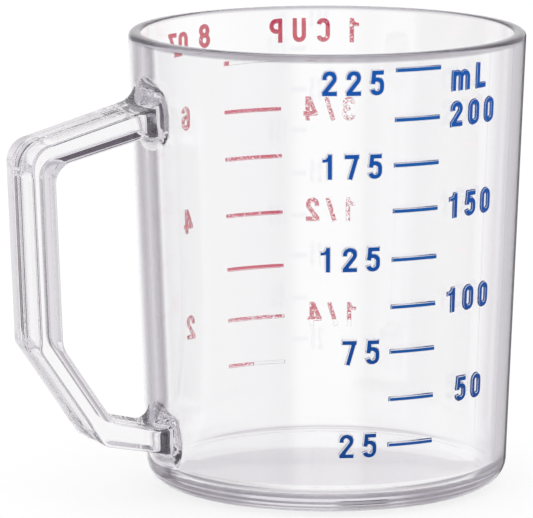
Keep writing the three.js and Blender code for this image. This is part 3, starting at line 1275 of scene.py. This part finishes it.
@dataclass
class Studio:
    """A white floor and surroundings, with soft lamps, and what the clear plastic shows of the room."""

    aim: Vector
    lamps: tuple[Lamp, ...]
    cards: tuple[Card, ...]
    heading: float
    floor_size: float = 6.0
    floor_drop: float = 0.0003
    floor_white: Colour = (0.95, 0.95, 0.95)
    floor_glow: float = 0.7
    sides: Stops = (
        (0.0, (0.74, 0.72, 0.76)),
        (0.18, (0.80, 0.77, 0.81)),
        (0.23, (0.62, 0.60, 0.63)),
        (0.27, (0.50, 0.48, 0.51)),
        (0.315, (0.64, 0.62, 0.65)),
        (0.35, (0.82, 0.81, 0.83)),
        (0.372, WHITE),
        (0.66, WHITE),
        (0.70, (0.66, 0.65, 0.67)),
        (0.80, (0.68, 0.66, 0.69)),
        (0.92, (0.80, 0.78, 0.81)),
        (0.97, WHITE),
    )
    heights: Stops = (
        (0.0, (0.72, 0.70, 0.73)),
        (0.185, (0.62, 0.60, 0.63)),
        (0.225, (0.88, 0.87, 0.89)),
        (0.26, WHITE),
        (0.53, WHITE),
        (0.57, (0.93, 0.92, 0.94)),
        (0.63, (0.90, 0.89, 0.91)),
        (0.70, (0.92, 0.91, 0.93)),
        (0.78, (0.98, 0.97, 0.99)),
        (1.0, WHITE),
    )
    straight_away: Pair = (0.1, 1.0)
    straight_rise: Pair = (-0.68, 1.0)
    straight_soft: float = 0.1

    def room(self, graph: Graph, path: bpy.types.NodeOutputs) -> Output:
        """Gives what the clear plastic shows of the room: white behind the cup, and greyer off it.

        Light that the plastic has mirrored shows all of it. Light that came straight through shows only
        the greys behind the cup, and no cards, so that the cup is clear from its other sides too.

        Args:
            graph: The world's tree.
            path: The tree's light path.

        Returns:
            The colour.
        """
        direction = graph.node("ShaderNodeTexCoord").outputs["Generated"]
        turn = {"Vector": direction, "Angle": math.radians(self.heading)}
        turned = graph.node("ShaderNodeVectorRotate", turn, rotation_type="Z_AXIS")
        axes = graph.axes(turned.outputs["Vector"])
        beside = graph.ramp(graph.span(axes["X"], -1, 1), self.sides)
        above = graph.ramp(graph.span(axes["Z"], -1, 1), self.heights)
        mirrored = graph.maths("MINIMUM", path["Glossy Depth"], 1.0)
        straight = graph.product(
            graph.between(axes["Y"], self.straight_away, self.straight_soft),
            graph.between(axes["Z"], self.straight_rise, self.straight_soft),
        )
        shown = graph.maths("MAXIMUM", mirrored, straight)
        seen = graph.mix(shown, WHITE, graph.mix(1.0, beside, above, "MULTIPLY"))
        for card in self.cards:
            spans = (("X", card.reach), ("Y", card.away), ("Z", card.rise))
            edges = [graph.between(axes[axis], ends, card.soft) for axis, ends in spans]
            share = graph.product(*edges, path[card.sight.value], mirrored)
            seen = graph.mix(share, seen, card.colour, "MULTIPLY")
        return seen

    def floor_material(self) -> bpy.types.Material:
        """Makes a matt white floor that keeps shadows, and that clear plastic shows as part of the room.

        Returns:
            The material.
        """
        made, graph = new_material("floor_white")
        matt = graph.node("ShaderNodeBsdfDiffuse", {"Color": self.floor_white}).outputs["BSDF"]
        glow = graph.node("ShaderNodeEmission").outputs["Emission"]
        gone = graph.node("ShaderNodeBsdfTransparent").outputs["BSDF"]
        path = graph.node("ShaderNodeLightPath").outputs
        in_plastic = graph.maths("MAXIMUM", path["Is Glossy Ray"], path["Is Transmission Ray"])
        unseen = graph.layer(in_plastic, glow, gone)
        lit = graph.layer(self.floor_glow, matt, glow)
        graph.node("ShaderNodeOutputMaterial", {"Surface": graph.layer(path["Is Camera Ray"], unseen, lit)})
        return made

    def build_floor(self) -> None:
        """Lays the floor just under the cup."""
        bm = bmesh.new()
        place = Matrix.Translation((0.0, 0.0, -self.floor_drop / MM))
        bmesh.ops.create_grid(bm, x_segments=1, y_segments=1, size=self.floor_size / 2 / MM, matrix=place)
        finished("floor", bm, [self.floor_material()])

    def build_world(self) -> None:
        """Makes the surroundings, which are plain white to the camera and to matt surfaces."""
        world = bpy.data.worlds.new("white_surroundings")
        world.use_nodes = True
        graph = Graph(world.node_tree)
        path = graph.node("ShaderNodeLightPath").outputs
        plain = graph.maths("MAXIMUM", path["Is Camera Ray"], path["Is Diffuse Ray"])
        light = graph.node("ShaderNodeBackground", {"Color": graph.mix(plain, self.room(graph, path), WHITE)})
        graph.node("ShaderNodeOutputWorld", {"Surface": light.outputs["Background"]})
        bpy.context.scene.world = world

    def build_lamps(self) -> None:
        """Hangs the lamps and points them at the cup."""
        for lamp in self.lamps:
            light = bpy.data.lights.new(lamp.name, "AREA")
            light.size = lamp.size
            light.energy = lamp.power
            light.use_shadow = False
            hung = bpy.data.objects.new(lamp.name, light)
            hung.visible_glossy = False
            hung.visible_transmission = False
            hung.location = lamp.place
            hung.rotation_euler = (self.aim - Vector(lamp.place)).to_track_quat("-Z", "Y").to_euler()
            bpy.context.scene.collection.objects.link(hung)

    def build(self) -> None:
        """Builds the floor, the surroundings and the lamps."""
        self.build_floor()
        self.build_world()
        self.build_lamps()


@dataclass(frozen=True)
class PhotoCamera:
    """The camera at the photograph's place: metres, degrees, and the lens's length in pixels of the image."""

    place: tuple[float, float, float] = (-0.36410, -0.78082, 0.19066)
    heading: float = 24.295
    pitch: float = 9.968
    lens_pixels: float = 4965.4
    image_width: int = 533
    sensor: float = 36.0
    nearest: float = 0.01

    def build(self) -> None:
        """Sets up the camera."""
        data = bpy.data.cameras.new("photo_camera")
        data.sensor_width = self.sensor
        data.lens = self.lens_pixels * self.sensor / self.image_width
        data.clip_start = self.nearest
        camera = bpy.data.objects.new("photo_camera", data)
        camera.location = self.place
        camera.rotation_euler = (math.radians(90 - self.pitch), 0.0, math.radians(-self.heading))
        bpy.context.scene.collection.objects.link(camera)
        bpy.context.scene.camera = camera


MAX_BOUNCES = 160
CLEAR_BOUNCES = 128
FOOT_RADIUS = 31.66
RIM_RADIUS = 34.83
CLEAR = ClearPlastic()
CLEAR_RELIEF = ClearPlastic("clear_relief", depth_density=0.0)
HAIRLINE = Relief(height=0.07, side_draft=0.05)
US_RELIEF = Relief(side_draft=0.08)
BLUE_LINE = Ink("blue_line_crest", (0.012, 0.10, 0.40), (0.008, 0.14, 0.52), False)
BLUE_FIGURE = Ink("blue_figure_crest", (0.003, 0.066, 0.31), (0.003, 0.12, 0.54), False)
RED_LINE = Ink("red_line_crest", (0.98, 0.07, 0.16), (0.95, 0.05, 0.14), True)
RED_FIGURE = Ink("red_figure_crest", (0.80, 0.004, 0.075), (0.80, 0.004, 0.065), True)
METRIC_COLUMNS = (-99.1, -60.6)
METRIC_FIGURES = (
    Figure("225", METRIC_COLUMNS[0] + 0.2, 75.3, Align.RIGHT),
    Figure("175", METRIC_COLUMNS[0], 61.0, Align.RIGHT),
    Figure("125", METRIC_COLUMNS[0] - 0.2, 45.0, Align.RIGHT),
    Figure("75", METRIC_COLUMNS[0], 28.85, Align.RIGHT),
    Figure("25", METRIC_COLUMNS[0] - 0.5, 12.5, Align.RIGHT),
    Figure("200", METRIC_COLUMNS[1] + 1.0, 69.0, Align.RIGHT),
    Figure("150", METRIC_COLUMNS[1] + 1.0, 53.2, Align.RIGHT),
    Figure("100", METRIC_COLUMNS[1] + 1.8, 36.7, Align.RIGHT),
    Figure("50", METRIC_COLUMNS[1], 20.8, Align.RIGHT),
    Figure("mL", -77.4, 75.2, gap=1.7),
)
US_COLUMNS = (55.8, 115.3)
US_FIGURES = (
    Figure("1", 55.0, 75.5, wear=(0.40,)),
    Figure("CUP", 64.15, 75.5, gap=2.0, wear=(0.30, 0.18, 0.20)),
    Figure("3/4", US_COLUMNS[0], 61.35, wear=(0.55, 0.46, 0.40)),
    Figure("1/2", US_COLUMNS[0] - 0.3, 42.9, gap=1.5, wear=(0.56, 0.44, 0.34)),
    Figure("1/4", US_COLUMNS[0] - 1.0, 23.65, gap=1.4, wear=(0.42, 0.37, 0.34), bare_below=1.1),
    Figure("8", 103.9, 75.45, wear=(0.20,)),
    Figure("OZ", 113.3, 74.55, gap=0.8, wear=(0.15, 0.15)),
    Figure("6", US_COLUMNS[1] + 0.2, 61.3, wear=(0.40,)),
    Figure("4", US_COLUMNS[1] + 0.6, 42.7, wear=(0.38,)),
    Figure("2", US_COLUMNS[1] + 1.2, 23.5, wear=(0.41,)),
)
# Wear along the red bars: a share of the bar's length, and how far the colour is worn there.
US_LINE_WEAR = {
    "us_line_1oz": ((0.42, 1.0), (0.58, 0.48), (1.0, 0.38)),
    "us_line_2oz": ((0.0, 0.41),),
    "us_line_3oz": ((0.0, 0.10),),
    "us_line_4oz": ((0.0, 0.30),),
    "us_line_5oz": ((0.0, 0.34),),
    "us_line_6oz": ((0.0, 0.32),),
    "us_line_7oz": ((0.88, 1.0), (0.94, 0.30)),
}
CARDS = (
    Card((-0.24, -0.06), (0.26, 0.62), (0.075, 0.055, 0.085), Sight.THROUGH),
    Card((-1.0, -0.86), (-0.45, -0.05), (0.14, 0.12, 0.155), Sight.THROUGH, (-0.5, 0.5)),
    Card((-0.97, -0.30), (-0.85, -0.22), (0.14, 0.115, 0.155), Sight.THROUGH, (-0.86, -0.20)),
    Card((-0.6, 0.6), (0.2128, 0.2235), (0.50, 0.47, 0.52), Sight.THROUGH, soft=0.002),
    Card((0.15, 0.33), (-0.30, 0.0), (0.18, 0.17, 0.19), Sight.MIRRORED),
)
LAMPS = (
    Lamp("key_lamp", (-0.9, -0.9, 1.3), 0.7, 6.0),
    Lamp("fill_lamp", (1.1, -0.6, 0.9), 0.6, 3.0),
)


def main() -> None:
    """Builds the cup, its scales and the studio."""
    logging.basicConfig(level=logging.INFO, format="%(name)s %(message)s")
    scene = bpy.context.scene
    scene.view_settings.view_transform = "Standard"
    scene.cycles.max_bounces = MAX_BOUNCES
    scene.cycles.glossy_bounces = CLEAR_BOUNCES
    scene.cycles.transmission_bounces = CLEAR_BOUNCES
    camera = PhotoCamera()
    camera.build()
    height = CAD_BOX[1].z / MM
    wall = WallLine(FOOT_RADIUS, RIM_RADIUS, height)
    moulding = ClearMoulding(CupShell(wall), StrapHandle(wall), CLEAR)
    moulding.dress(moulding.build())
    PartingLine(MarkMaker(wall, HAIRLINE), CLEAR_RELIEF).build()
    GraduatedScale(
        "metric", METRIC_FIGURES, BLUE_LINE, BLUE_FIGURE, Slot.BLUE, MarkMaker(wall),
        shift_low=(0.09, -0.13), shift_high=(0.04, -0.02),
    ).build(CLEAR_RELIEF)
    GraduatedScale(
        "us", US_FIGURES, RED_LINE, RED_FIGURE, Slot.RED, MarkMaker(wall, US_RELIEF),
        shift_low=(0.0, 0.10), shift_high=(0.0, 0.0), line_wear=US_LINE_WEAR,
        bar_nib=0.56, bar_margins=(0.38, -0.12), figure_nib=0.70,
    ).build(CLEAR_RELIEF)
    Studio(Vector((0.0, 0.0, height * MM / 2)), LAMPS, CARDS, camera.heading).build()


if __name__ == "__main__":
    main()
